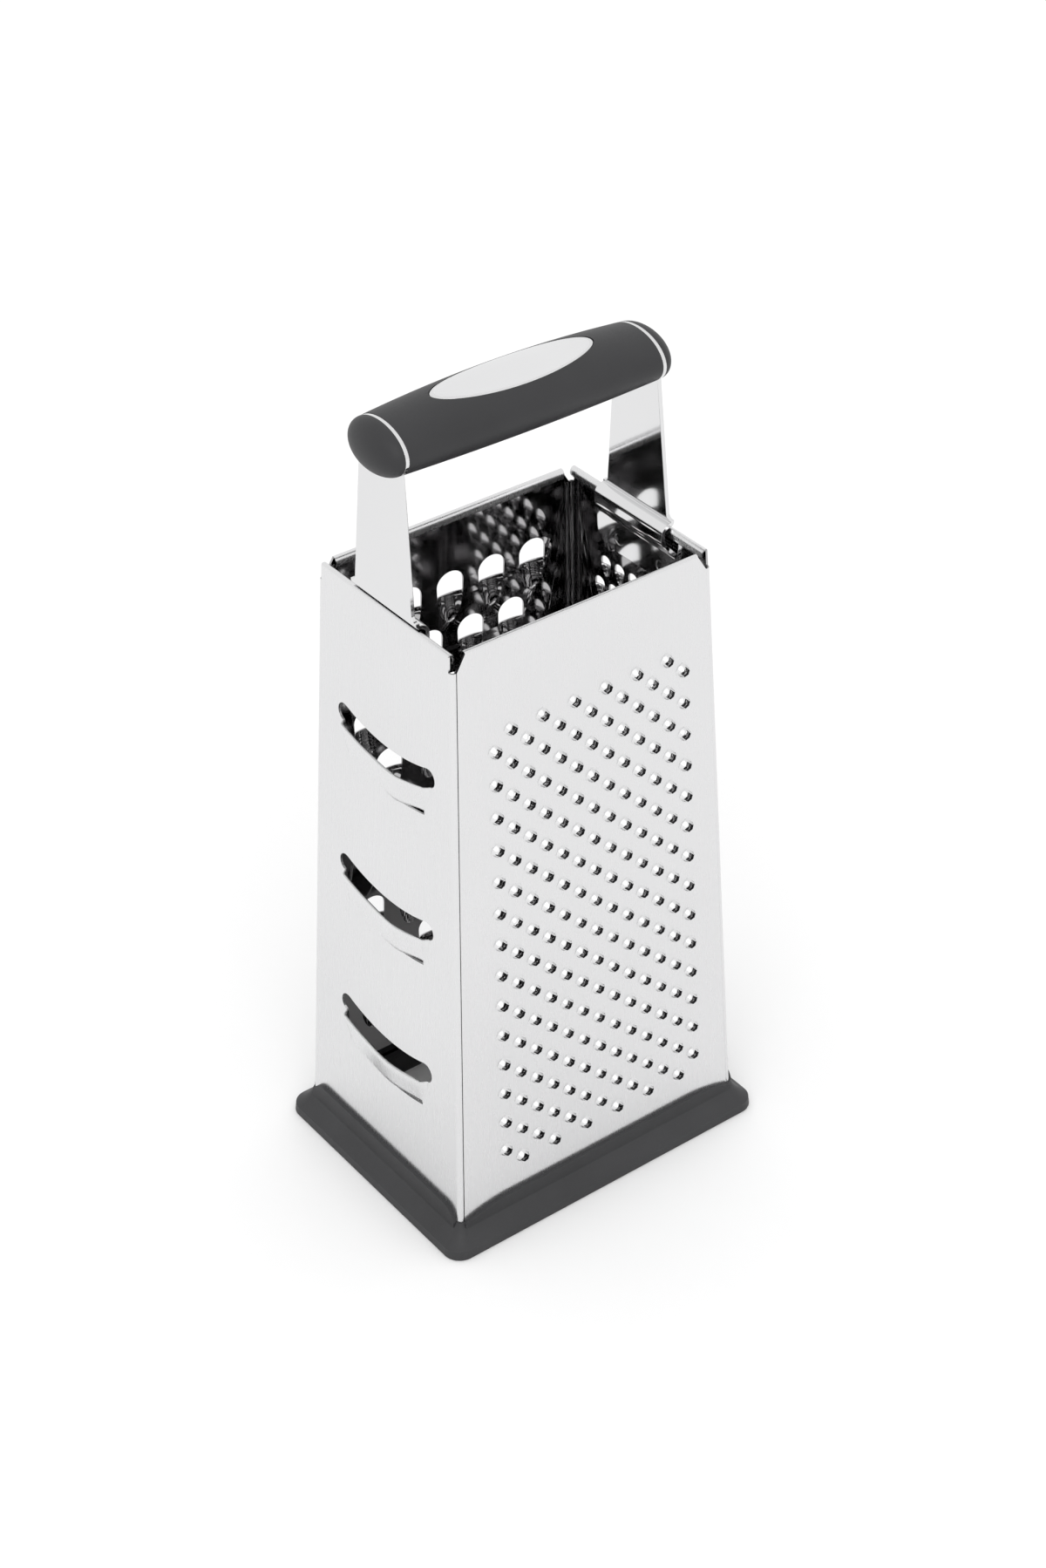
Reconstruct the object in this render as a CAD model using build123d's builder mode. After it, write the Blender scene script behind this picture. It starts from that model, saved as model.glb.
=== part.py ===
"""Four-sided box grater with a bar grip and a soft base ring.

The origin is the middle of the base's underside. X runs along the grip and the two wide walls, Y across
the narrow walls, Z up. Four punched steel walls lean inward and lap at the corners. Two bent straps carry
the grip and are spot welded inside the narrow walls. A moulded ring holds the lower edge of the sheet.
"""

from build123d import *
from math import atan, cos, degrees, pi, radians, sin, sqrt, tan
import os

os.makedirs("parts", exist_ok=True)

# Shell, in millimetres
rim_height = 189.0
rim_width = 82.7
rim_depth = 58.1
foot_width = 98.9
foot_depth = 73.5
sheet = 0.6
corner_radius = 1.3
seam_inset = 1.5
shell_bottom = 3.0
flange_reach = 3.2
hem_depth = 3.0
hem_edge_radius = 0.5
notch_width = 4.2
notch_depth = 5.0
overrun = 2.0

# Fine rasp wall: staggered columns of points pierced from inside
rasp_columns = 13
rasp_column_pitch = 5.34
rasp_row_pitch = 10.0
rasp_rim_margin = 32.5
rasp_foot_margin = 26.5
rasp_centre = 1.2
rasp_tooth_width = 2.7
rasp_tooth_height = 1.1
rasp_mouth_width = 0.9
rasp_crater_width = 2.1
fan_share = 0.126

# Coarse wall: an oval window above each scoop, whose upper edge cuts
coarse_row_count = 5
coarse_column_pitch = 13.8
coarse_row_pitch = 16.6
coarse_rim_margin = 26.5
coarse_foot_margin = 29.7
coarse_width = 8.8
coarse_window = 7.6
coarse_scoop_length = 8.8
coarse_scoop_height = 2.4

# Medium wall: the same form, smaller and closer together
medium_row_count = 6
medium_column_pitch = 5.9
medium_row_pitch = 7.9
medium_rim_margin = 26.0
medium_foot_margin = 28.7
medium_width = 4.1
medium_window = 3.2
medium_scoop_length = 3.6
medium_scoop_height = 1.1

# Each pair is a station down a scoop, before its point: a share of its length and of its mouth's size
coarse_scoop_shares = ((0.0, 1.0), (0.6, 0.76))
medium_scoop_shares = ((0.0, 1.0),)
coarse_scoop_sides = 4
medium_scoop_sides = 3
window_sides = 4
scoop_wall = 0.45

# Slicer wall: three curved slots, with a blade pressed outward below each
slot_rim_margin = 45.6
slot_foot_margin = 46.4
slot_half_length = 22.6
slot_end_radius = 2.0
slot_openings = (4.6, 4.6, 5.6)
slot_curve_radius = 62.0
slot_centre = 1.0
blade_depth = 8.5
blade_foot_half_length = 17.5
blade_heights = (1.5, 1.5, 2.6)
blade_step = 0.5
blade_cheek = 0.8

# Handle straps
strap_thickness = 1.1
strap_lean = 1.3
strap_foot_width = 25.0
strap_neck_width = 17.0
strap_flare_radius = 1.4
strap_rim_gap = 0.5
strap_ledge_fall = 0.6
strap_reach = 3.0
strap_bend_radius = 0.7
strap_roll_radius = 2.2
strap_roll_drop = 4.6
strap_joggle_drop = 3.4
ledge_width = 28.4
lap_width = 33.2
lap_height = 14.0
lap_corner = 5.5
lap_foot_drop = 18.0
weld_spacing = 17.4
weld_drop = 13.5
weld_centre = 1.5
weld_diameter = 3.4
weld_dent = 0.12

# Grip
grip_rise = 45.9
grip_end_width = 22.4
grip_end_depth = 14.2
grip_mid_width = 24.5
grip_mid_depth = 17.1
grip_mid_rise = 0.7
core_width = 18.0
core_depth = 7.6
core_bevel = 2.0
inlay_length = 49.6
inlay_width = 15.0
inlay_thickness = 0.9
cap_length = 5.4
screw_diameter = 3.0
screw_length = 14.0
screw_head_diameter = 5.6
screw_head_height = 1.8
fit_gap = 0.1
head_gap = 0.4
peg_spacing = 12.6
peg_diameter = 2.0
peg_length = 4.0

# Base ring
base_reach = 5.3
base_corner = 5.4
band_height = 3.0
band_draft = 0.35
foot_radius = 0.5
skirt_top = 8.8
rib_thickness = 2.0
rib_height = 8.0
lip_thickness = 1.2
narrow_lip_height = 12.9
wide_lip_height = 11.3
narrow_lip_fall = 7.0
wide_lip_fall = 17.0
lip_end_height = 8.6
# Each pair is a share of the skirt's height and of its reach outside the shell
skirt_shares = ((0.0, 1.0), (0.2, 0.7), (0.48, 0.4), (1.0, 0.08))

# Worked out from the sizes above
wide_slope = (foot_depth - rim_depth) / 2 / rim_height
narrow_slope = (foot_width - rim_width) / 2 / rim_height
wide_lean = atan(wide_slope)
narrow_lean = atan(narrow_slope)
strap_slope = tan(radians(strap_lean))
strap_half = strap_thickness / 2
slot_pitch = (rim_height - slot_rim_margin - slot_foot_margin) / (len(blade_heights) - 1)
grip_height = rim_height + grip_rise
lap_foot_height = rim_height - lap_foot_drop
weld_height = rim_height - weld_drop
base_width = foot_width + 2 * base_reach
base_depth = foot_depth + 2 * base_reach


def half_width(z, inset=0.0):
    """Half the shell's width at a height, to a face that lies inset from the outside."""
    return rim_width / 2 + narrow_slope * (rim_height - z) - inset / cos(narrow_lean)


def half_depth(z, inset=0.0):
    """Half the shell's depth at a height, to a face that lies inset from the outside."""
    return rim_depth / 2 + wide_slope * (rim_height - z) - inset / cos(wide_lean)


def up_wide(z):
    """Distance up a wide wall's slope at a height."""
    return z / cos(wide_lean)


def up_narrow(z):
    """Distance up a narrow wall's slope at a height."""
    return z / cos(narrow_lean)


def wide_plane(side, inset=0.0):
    """Plane on a wide wall: x across, y up the slope from table level, normal outward."""
    origin = Vector(0, side * half_depth(0, inset), 0)
    return Plane(origin=origin, x_dir=(-side, 0, 0), z_dir=(0, side * cos(wide_lean), sin(wide_lean)))


def narrow_plane(side, inset=0.0):
    """Plane on a narrow wall: x across, y up the slope from table level, normal outward."""
    origin = Vector(side * half_width(0, inset), 0, 0)
    return Plane(origin=origin, x_dir=(0, side, 0), z_dir=(side * cos(narrow_lean), 0, sin(narrow_lean)))


def closed_outline(points):
    """A straight-sided face from its corners, for use inside a sketch."""
    with BuildLine() as outline:
        Polyline(*points, close=True)
    make_face(outline.edges())


def shell_block(inset, bottom, top):
    """The tapered four-sided space inside the shell at a depth, between two heights, its corners rounded."""
    with BuildPart() as block:
        for view, half_at, mode in ((Plane.XZ, half_width, Mode.ADD), (Plane.YZ, half_depth, Mode.INTERSECT)):
            low_half = half_at(bottom, inset)
            high_half = half_at(top, inset)
            with BuildSketch(view):
                closed_outline([(-low_half, bottom), (low_half, bottom), (high_half, top), (-high_half, top)])
            extrude(amount=foot_width, both=True, mode=mode)
        fillet(block.edges().group_by(Axis.Z)[1], max(corner_radius - inset, sheet / 2))
    return block.part


def shell_between(outer_inset, inner_inset, bottom, top):
    """The part of the tapered four-sided shell between two depths and two heights."""
    outside = shell_block(outer_inset, bottom, top)
    inside = shell_block(inner_inset, bottom, top)
    with BuildPart() as tube:
        add(outside)
        add(inside, mode=Mode.SUBTRACT)
    return tube.part


def save(part, name):
    """Label one piece and write it to its file."""
    part.label = name
    export_step(part, f"parts/{name}.step")


# Wall blanks
shell_tube = shell_between(0.0, sheet, shell_bottom, rim_height)


def seam_outline():
    """The stretch between the corner seams, seen from the front."""
    low = shell_bottom - overrun
    high = rim_height + overrun
    low_half = half_width(low, seam_inset)
    high_half = half_width(high, seam_inset)
    closed_outline([(-low_half, low), (low_half, low), (high_half, high), (-high_half, high)])


def top_notches(half_at, rim_half, rise):
    """The two corners cut away at the top of a wall, from its hem's end down to the notch's depth."""
    top = rise(rim_height)
    foot = rise(rim_height - notch_depth)
    foot_half = half_at(rim_height - notch_depth, seam_inset)
    for end in (-1, 1):
        closed_outline(
            [
                (end * rim_half, top + overrun),
                (end * rim_half, top),
                (end * foot_half, foot),
                (end * (foot_half + notch_width), foot),
                (end * (foot_half + notch_width), top + overrun),
            ]
        )


def wide_blank(side):
    """A wide wall before punching: flat between the seams, hemmed inward at the rim."""
    hem_half = half_width(rim_height) - notch_width
    with BuildPart() as wall:
        add(shell_tube)
        with BuildSketch(Plane.XZ):
            seam_outline()
        extrude(amount=-side * foot_depth, mode=Mode.INTERSECT)
        with BuildSketch(wide_plane(side)):
            top_notches(half_width, hem_half, up_wide)
        extrude(amount=-2 * sheet, mode=Mode.SUBTRACT)
        with BuildSketch(wide_plane(side, sheet)):
            with Locations((0, up_wide(rim_height) - hem_depth / 2)):
                Rectangle(2 * hem_half, hem_depth)
        extrude(amount=-sheet)
        split(bisect_by=Plane.XY.offset(rim_height), keep=Keep.BOTTOM)
        rim_face = wall.faces().sort_by(Axis.Z)[-1]
        fillet(rim_face.edges().filter_by(Axis.X), hem_edge_radius)
    return wall.part


def narrow_blank(side):
    """A narrow wall before punching: its edges turn the corners and lap behind the wide walls."""
    hem_half = half_depth(rim_height, corner_radius)
    flange_top = rim_height - notch_depth
    with BuildPart() as wall:
        add(shell_tube)
        with BuildSketch(Plane.XZ):
            seam_outline()
        extrude(amount=foot_depth, both=True, mode=Mode.SUBTRACT)
        with Locations((side * foot_width, 0, rim_height / 2)):
            Box(2 * foot_width, 2 * foot_depth, 2 * rim_height, mode=Mode.INTERSECT)
        with BuildSketch(narrow_plane(side)):
            top_notches(half_depth, hem_half, up_narrow)
        extrude(amount=-flange_reach, mode=Mode.SUBTRACT)
        for back in (-1, 1):
            with BuildSketch(wide_plane(back, sheet)):
                closed_outline(
                    [
                        (-back * side * half_width(z, reach), up_wide(z))
                        for z, reach in (
                            (shell_bottom, flange_reach),
                            (shell_bottom, sheet / 2),
                            (flange_top, sheet / 2),
                            (flange_top, flange_reach),
                        )
                    ]
                )
            extrude(amount=-sheet)
        with BuildSketch(narrow_plane(side, sheet)):
            with Locations((0, up_narrow(rim_height) - hem_depth / 2)):
                Rectangle(2 * hem_half, hem_depth)
        extrude(amount=-sheet)
        split(bisect_by=Plane.XY.offset(rim_height), keep=Keep.BOTTOM)
        split(bisect_by=Plane.XY.offset(shell_bottom), keep=Keep.TOP)
        rim_face = wall.faces().sort_by(Axis.Z)[-1]
        fillet(rim_face.edges().filter_by(Axis.Y), hem_edge_radius)
        with BuildSketch(narrow_plane(side)):
            with Locations((-side * weld_centre, up_narrow(weld_height))):
                with GridLocations(weld_spacing, weld_spacing, 2, 1):
                    Circle(weld_diameter / 2)
        extrude(amount=-weld_dent, mode=Mode.SUBTRACT)
    return wall.part


# Punch patterns
def row_heights(rim_margin, foot_margin, pitch):
    """Heights of the rows that fit between a wall's two plain margins, from the top down."""
    top_row = rim_height - rim_margin
    count = 1 + round((top_row - foot_margin) / pitch)
    return [top_row - row * pitch for row in range(count)]


def fanned_columns():
    """Places of the rasp points: columns that spread towards the foot, every second one half a row higher."""
    heights = row_heights(rasp_rim_margin, rasp_foot_margin, rasp_row_pitch)
    middle = (heights[0] + heights[-1]) / 2
    places = []
    for column in range(rasp_columns):
        across = rasp_centre + (column - (rasp_columns - 1) / 2) * rasp_column_pitch
        column_heights = heights
        if column % 2:
            column_heights = [heights[0] + rasp_row_pitch / 2] + [z - rasp_row_pitch / 2 for z in heights]
        for z in column_heights:
            spread = 1 + fan_share * (middle - z) / rim_height
            places.append((across * spread, up_wide(z)))
    return places


def staggered_rows(heights, first_count, second_count, column_pitch, rise):
    """Places of holes in rows of two counts by turns, each row centred."""
    places = []
    for row, z in enumerate(heights):
        count = second_count if row % 2 else first_count
        places += [((column - (count - 1) / 2) * column_pitch, rise(z)) for column in range(count)]
    return places


def arch(half, rise, sides, base=0.0):
    """Corners of a half oval from right to left, standing on a base line."""
    return [(half * cos(pi * i / sides), base + rise * sin(pi * i / sides)) for i in range(sides + 1)]


def scoop_solid(width, length, height, sides, stations, lead=0.0):
    """A mound lying on a plane: half an oval that shrinks down its length to a point."""
    rows = [(-lead, 1.0)] if lead else []
    rows += [(down_share * length, size_share) for down_share, size_share in stations]
    sections = []
    for place, size_share in rows:
        with BuildSketch(Plane(origin=(0, -place, 0), x_dir=(1, 0, 0), z_dir=(0, -1, 0))) as section:
            closed_outline(arch(size_share * width / 2, size_share * height, sides))
        sections.append(section.sketch)
    with BuildPart() as mound:
        loft(sections=[*sections, Vertex(0, -length, 0)], ruled=True)
    return mound.part


def scoop_blank(width, window, length, height, sides, stations):
    """A round blank of sheet with one scoop pressed out of it, below the window that its edge cuts into."""
    half = width / 2 - scoop_wall
    rise = height - scoop_wall + sheet
    mound = scoop_solid(width, length, height, sides, stations)
    hollow = scoop_solid(2 * half, length - scoop_wall, rise, sides, stations, overrun)
    with BuildPart() as blank:
        with BuildSketch(Plane.XY.offset(-sheet)):
            Circle(window + length)
        extrude(amount=sheet)
        add(mound)
        with BuildSketch(Plane.XY.offset(-sheet)):
            closed_outline([(-half, 0), (half, 0)] + arch(half, half, window_sides, window - half))
        extrude(amount=sheet, mode=Mode.SUBTRACT)
        with Locations((0, 0, -sheet)):
            add(hollow, mode=Mode.SUBTRACT)
    return blank.part


def rasp_blank():
    """A round blank of sheet with one point, torn open to a sharp edge by a four-sided punch from behind."""
    with BuildPart() as blank:
        with BuildSketch(Plane.XY.offset(-sheet)):
            Circle(rasp_tooth_width)
        extrude(amount=sheet)
        tooth = (0, rasp_tooth_width, Mode.ADD)
        crater = (-sheet, rasp_crater_width, Mode.SUBTRACT)
        for foot, width, mode in (tooth, crater):
            rise = rasp_tooth_height - foot
            draft = atan((width - rasp_mouth_width) / 2 / rise)
            with BuildSketch(Plane.XY.offset(foot)):
                Rectangle(width, width, rotation=45)
            extrude(amount=rise, taper=degrees(draft), mode=mode)
    return blank.part


def punched_wall(plain, plane, places, pressed):
    """A plain wall with the form of a pressed blank sewn into its two flat faces at every place."""
    flats = plain.faces().sort_by(SortBy.AREA)[-2:]
    back, front = flats.sort_by(Axis(plane.origin, plane.z_dir))
    pressed_back, pressed_front = pressed.faces().filter_by(lambda face: face.inner_wires()).sort_by(Axis.Z)
    border = pressed.faces().filter_by(GeomType.CYLINDER)
    form = pressed.faces() - border - [pressed_back, pressed_front]
    spots = [plane.location * Location(place) for place in places]
    skin = plain.faces() - flats
    skin.append(front.make_holes([pressed_front.inner_wires()[0].moved(spot) for spot in spots]))
    skin.append(back.make_holes([pressed_back.inner_wires()[0].moved(spot) for spot in spots]))
    skin += [face.moved(spot) for spot in spots for face in form]
    return Solid(Shell(skin))


# Fine rasp wall, at the front
with BuildPart() as fine_rasp_wall:
    add(punched_wall(wide_blank(-1), wide_plane(-1), fanned_columns(), rasp_blank()), clean=False)
save(fine_rasp_wall.part, "fine_rasp_wall")

# Coarse wall, at the back
coarse_blank = scoop_blank(
    coarse_width,
    coarse_window,
    coarse_scoop_length,
    coarse_scoop_height,
    coarse_scoop_sides,
    coarse_scoop_shares,
)
coarse_heights = row_heights(coarse_rim_margin, coarse_foot_margin, coarse_row_pitch)
coarse_places = staggered_rows(
    coarse_heights, coarse_row_count, coarse_row_count - 1, coarse_column_pitch, up_wide
)
with BuildPart() as coarse_shred_wall:
    add(punched_wall(wide_blank(1), wide_plane(1), coarse_places, coarse_blank), clean=False)
save(coarse_shred_wall.part, "coarse_shred_wall")

# Medium wall, at the right
medium_blank = scoop_blank(
    medium_width,
    medium_window,
    medium_scoop_length,
    medium_scoop_height,
    medium_scoop_sides,
    medium_scoop_shares,
)
medium_heights = row_heights(medium_rim_margin, medium_foot_margin, medium_row_pitch)
medium_places = staggered_rows(
    medium_heights, medium_row_count, medium_row_count + 1, medium_column_pitch, up_narrow
)
with BuildPart() as medium_shred_wall:
    add(punched_wall(narrow_blank(1), narrow_plane(1), medium_places, medium_blank), clean=False)
save(medium_shred_wall.part, "medium_shred_wall")


# Slicer wall, at the left
def arc_band(inner_radius, outer_radius, inner_half, outer_half):
    """A curved band hanging below its centre: two arcs joined at their ends by straight lines."""
    inner_end = -sqrt(inner_radius**2 - inner_half**2)
    outer_end = -sqrt(outer_radius**2 - outer_half**2)
    with BuildLine() as band:
        ThreePointArc((-inner_half, inner_end), (0, -inner_radius), (inner_half, inner_end))
        Line((inner_half, inner_end), (outer_half, outer_end))
        ThreePointArc((outer_half, outer_end), (0, -outer_radius), (-outer_half, outer_end))
        Line((-outer_half, outer_end), (-inner_half, inner_end))
    make_face(band.edges())


def louver(height, lead, wall, sink):
    """A raised blade about its arc's centre: a band under a cone that falls from the edge to the crease."""
    near = slot_curve_radius - lead
    far = slot_curve_radius + blade_depth - wall
    fall = (height - blade_step) / blade_depth
    with BuildPart() as solid:
        with BuildSketch(Plane.XY.offset(-sink)):
            arc_band(near, far, slot_half_length - wall, blade_foot_half_length - wall)
        extrude(amount=sink + height)
        with BuildSketch(Plane.XZ):
            closed_outline(
                [
                    (near - lead, -sink),
                    (near - lead, height + fall * 2 * lead - (sheet if wall else 0)),
                    (far + wall, blade_step - (sheet if wall else 0)),
                    (far + wall, -sink),
                ]
            )
        revolve(axis=Axis.Z, mode=Mode.INTERSECT)
    return solid.part


slicer_blank = narrow_blank(-1)
louvers = [louver(height, 0.0, 0.0, sheet / 2) for height in blade_heights]
louver_hollows = [louver(height, overrun, blade_cheek, sheet + overrun) for height in blade_heights]
with BuildPart() as slicer_wall:
    add(slicer_blank)
    for slot in range(len(blade_heights)):
        blade_rise = up_narrow(rim_height - slot_rim_margin - slot * slot_pitch)
        with Locations(narrow_plane(-1)):
            with Locations((slot_centre, blade_rise + slot_curve_radius)):
                add(louvers[slot])
                add(louver_hollows[slot], mode=Mode.SUBTRACT)
        with BuildSketch(narrow_plane(-1)):
            with BuildSketch(mode=Mode.PRIVATE) as slot_face:
                arc_band(
                    slot_curve_radius - slot_openings[slot],
                    slot_curve_radius,
                    slot_half_length,
                    slot_half_length,
                )
                fillet(slot_face.vertices(), slot_end_radius)
            with Locations((slot_centre, blade_rise + slot_curve_radius)):
                add(slot_face.sketch)
        extrude(amount=-overrun, mode=Mode.SUBTRACT)
save(slicer_wall.part, "slicer_wall")


# Straps
def strap_middle(z):
    """Half the distance between the two straps' middle surfaces, above the rim."""
    return rim_width / 2 - strap_half - strap_slope * (z - rim_height)


def lap_middle(z):
    """Half the distance between the two lap plates' middle surfaces, inside the walls."""
    return half_width(z, sheet + strap_half)


def grip_end(side, out=0.0):
    """Plane on a strap's outer face at the middle of the grip's end, moved outward by a distance."""
    normal = Vector(side * cos(radians(strap_lean)), 0, sin(radians(strap_lean)))
    origin = Vector(side * strap_middle(grip_height), 0, grip_height) + normal * (strap_half + out)
    return Plane(origin=origin, x_dir=(0, side, 0), z_dir=normal)


bend_height = rim_height + strap_rim_gap + strap_half
roll_height = bend_height - strap_ledge_fall
joggle_height = roll_height - strap_roll_drop
lap_top_height = joggle_height - strap_joggle_drop
strap_top_height = grip_height + grip_end_depth / 2 + overrun
roll_middle = strap_middle(bend_height) - strap_reach

with BuildPart() as right_strap:
    with BuildSketch(Plane.XZ):
        with BuildLine():
            FilletPolyline(
                (strap_middle(strap_top_height), strap_top_height),
                (strap_middle(bend_height), bend_height),
                (roll_middle, roll_height),
                (roll_middle, joggle_height),
                (lap_middle(lap_top_height), lap_top_height),
                (lap_middle(lap_foot_height - overrun), lap_foot_height - overrun),
                radius=[strap_bend_radius, strap_roll_radius, strap_roll_radius, strap_roll_radius],
            )
        trace(line_width=strap_thickness)
    extrude(amount=lap_width, both=True)
    with BuildSketch(Plane.YZ):
        closed_outline(
            [
                (-strap_neck_width / 2, grip_height),
                (-strap_foot_width / 2, bend_height),
                (strap_foot_width / 2, bend_height),
                (strap_neck_width / 2, grip_height),
            ]
        )
        with Locations((0, bend_height / 2 + joggle_height / 2)):
            Rectangle(ledge_width, bend_height - joggle_height + 2 * strap_thickness)
        below_grip = vertices().filter_by(lambda corner: corner.Y < grip_height - overrun)
        fillet(below_grip.filter_by(lambda corner: abs(corner.X) < ledge_width / 2 - fit_gap), strap_flare_radius)
        with Locations((0, grip_height)):
            Ellipse(grip_end_width / 2, grip_end_depth / 2)
        with Locations((0, lap_foot_height + lap_height / 2)):
            RectangleRounded(lap_width, lap_height, lap_corner)
    extrude(amount=foot_width, mode=Mode.INTERSECT)
    with BuildSketch(grip_end(1, overrun)):
        Circle(screw_diameter / 2 + fit_gap)
        with GridLocations(peg_spacing, peg_spacing, 2, 1):
            Circle(peg_diameter / 2 + fit_gap)
    extrude(amount=-2 * overrun - strap_thickness, mode=Mode.SUBTRACT)
    with BuildSketch(narrow_plane(1, sheet + strap_thickness)):
        with Locations((-weld_centre, up_narrow(weld_height))):
            with GridLocations(weld_spacing, weld_spacing, 2, 1):
                Circle(weld_diameter / 2)
    extrude(amount=weld_dent, mode=Mode.SUBTRACT)
save(right_strap.part, "right_strap")

with BuildPart() as left_strap:
    add(mirror(right_strap.part, about=Plane.YZ, mode=Mode.PRIVATE))
save(left_strap.part, "left_strap")


# Grip
grip_half_length = strap_middle(grip_height) + strap_half


def grip_body(drop=0.0):
    """The grip's full outside, oval and fuller in the middle, lowered by a distance."""
    with BuildPart() as body:
        for place, width, depth, rise in (
            (-grip_half_length, grip_end_width, grip_end_depth, 0.0),
            (0, grip_mid_width, grip_mid_depth, grip_mid_rise),
            (grip_half_length, grip_end_width, grip_end_depth, 0.0),
        ):
            with BuildSketch(Plane.YZ.offset(place)):
                with Locations((0, grip_height + rise - drop)):
                    Ellipse(width / 2, depth / 2)
        loft()
    return body.part


def oval_column(gap):
    """The upright column that the inlay plate is cut from, wider all round by a gap."""
    with BuildPart() as column:
        with BuildSketch(Plane.XY.offset(grip_height)):
            Ellipse(inlay_length / 2 + gap, inlay_width / 2 + gap)
        extrude(amount=grip_mid_depth)
    return column.part


def trimmed_between_straps():
    """Cut what is being built off flush with the straps' inner faces."""
    for side in (-1, 1):
        split(bisect_by=grip_end(side, -strap_thickness), keep=Keep.BOTTOM)


def core_outline(gap=0.0):
    """The core's eight-sided section, for use inside a sketch."""
    half_wide = core_width / 2 + gap
    half_deep = core_depth / 2 + gap
    closed_outline(
        [
            (-half_wide, -half_deep + core_bevel),
            (-half_wide + core_bevel, -half_deep),
            (half_wide - core_bevel, -half_deep),
            (half_wide, -half_deep + core_bevel),
            (half_wide, half_deep - core_bevel),
            (half_wide - core_bevel, half_deep),
            (-half_wide + core_bevel, half_deep),
            (-half_wide, half_deep - core_bevel),
        ]
    )


outer_body = grip_body()
recess_floor = grip_body(inlay_thickness)
plate_underside = grip_body(inlay_thickness - fit_gap)
recess_column = oval_column(fit_gap)
plate_column = oval_column(0.0)

with BuildPart() as recess:
    add(recess_column)
    add(recess_floor, mode=Mode.SUBTRACT)

with BuildPart() as inlay_plate:
    add(plate_column)
    add(outer_body, mode=Mode.INTERSECT)
    add(plate_underside, mode=Mode.SUBTRACT)
save(inlay_plate.part, "inlay_plate")

with BuildPart() as grip_cover:
    add(outer_body)
    trimmed_between_straps()
    with BuildSketch(Plane.YZ):
        with Locations((0, grip_height)):
            with BuildSketch(mode=Mode.PRIVATE) as core_face:
                core_outline()
            add(core_face.sketch)
    extrude(amount=grip_half_length + overrun, both=True, mode=Mode.SUBTRACT)
    add(recess.part, mode=Mode.SUBTRACT)
save(grip_cover.part, "grip_cover")

with BuildPart() as grip_core:
    with BuildSketch(Plane.YZ):
        with Locations((0, grip_height)):
            with BuildSketch(mode=Mode.PRIVATE) as core_face:
                core_outline()
            add(core_face.sketch)
    extrude(amount=grip_half_length + overrun, both=True)
    trimmed_between_straps()
    for side in (-1, 1):
        with BuildSketch(grip_end(side)):
            Circle(screw_diameter / 2 + fit_gap)
        extrude(amount=-screw_length - head_gap, mode=Mode.SUBTRACT)
        with BuildSketch(grip_end(side)):
            with GridLocations(peg_spacing, peg_spacing, 2, 1):
                Circle(peg_diameter / 2 + fit_gap)
        extrude(amount=-peg_length - head_gap, mode=Mode.SUBTRACT)
save(grip_core.part, "grip_core")

# End caps and their screws
with BuildPart() as unit_ball:
    Sphere(1)
    scale(by=(grip_end_width / 2, grip_end_depth / 2, cap_length))

with BuildPart() as end_cap:
    add(unit_ball.part)
    split(bisect_by=Plane.XY, keep=Keep.TOP)
    with BuildSketch():
        Circle(screw_head_diameter / 2 + head_gap)
    extrude(amount=screw_head_height + head_gap, mode=Mode.SUBTRACT)
    with BuildSketch(Plane.XY.offset(-peg_length)):
        with GridLocations(peg_spacing, peg_spacing, 2, 1):
            Circle(peg_diameter / 2)
    extrude(amount=peg_length + fit_gap)

with BuildPart() as left_end_cap:
    with Locations(grip_end(-1)):
        add(end_cap.part)
save(left_end_cap.part, "left_end_cap")

with BuildPart() as right_end_cap:
    with Locations(grip_end(1)):
        add(end_cap.part)
save(right_end_cap.part, "right_end_cap")

with BuildPart() as screw:
    with BuildSketch(Plane.XY.offset(-screw_length)):
        Circle(screw_diameter / 2)
    extrude(amount=screw_length)
    with BuildSketch():
        Circle(screw_head_diameter / 2)
    extrude(amount=screw_head_height)
    fillet(screw.edges().sort_by(Axis.Z)[-1], screw_head_height / 2)

with BuildPart() as end_screws:
    with Locations(grip_end(-1), grip_end(1)):
        add(screw.part)
save(end_screws.part, "end_screws")


# Base ring
def lip_outline(half_at, height, fall, rise):
    """The lip that stands against one wall: level along the middle, falling to the corners."""
    level_half = half_at(height) - fall
    end_half = half_at(lip_end_height) - corner_radius
    with BuildLine() as edge:
        Line((0, rise(height)), (level_half, rise(height)))
        TangentArc((level_half, rise(height)), (end_half, rise(lip_end_height)), tangent=(1, 0))
        Line((end_half, rise(lip_end_height)), (end_half, rise(shell_bottom)))
        Line((end_half, rise(shell_bottom)), (0, rise(shell_bottom)))
        mirror(edge.line, about=Plane.YZ)
    make_face(edge.edges())


skirt_reach_x = base_width / 2 - band_draft - half_width(band_height)
skirt_reach_y = base_depth / 2 - band_draft - half_depth(band_height)
rib_inset = 2 * sheet + rib_thickness
seat_space = shell_block(0.0, shell_bottom, narrow_lip_height + overrun)
ring_hole = shell_block(rib_inset, -overrun, shell_bottom + overrun)
inner_rib = shell_between(2 * sheet, rib_inset, shell_bottom, rib_height)

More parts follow.
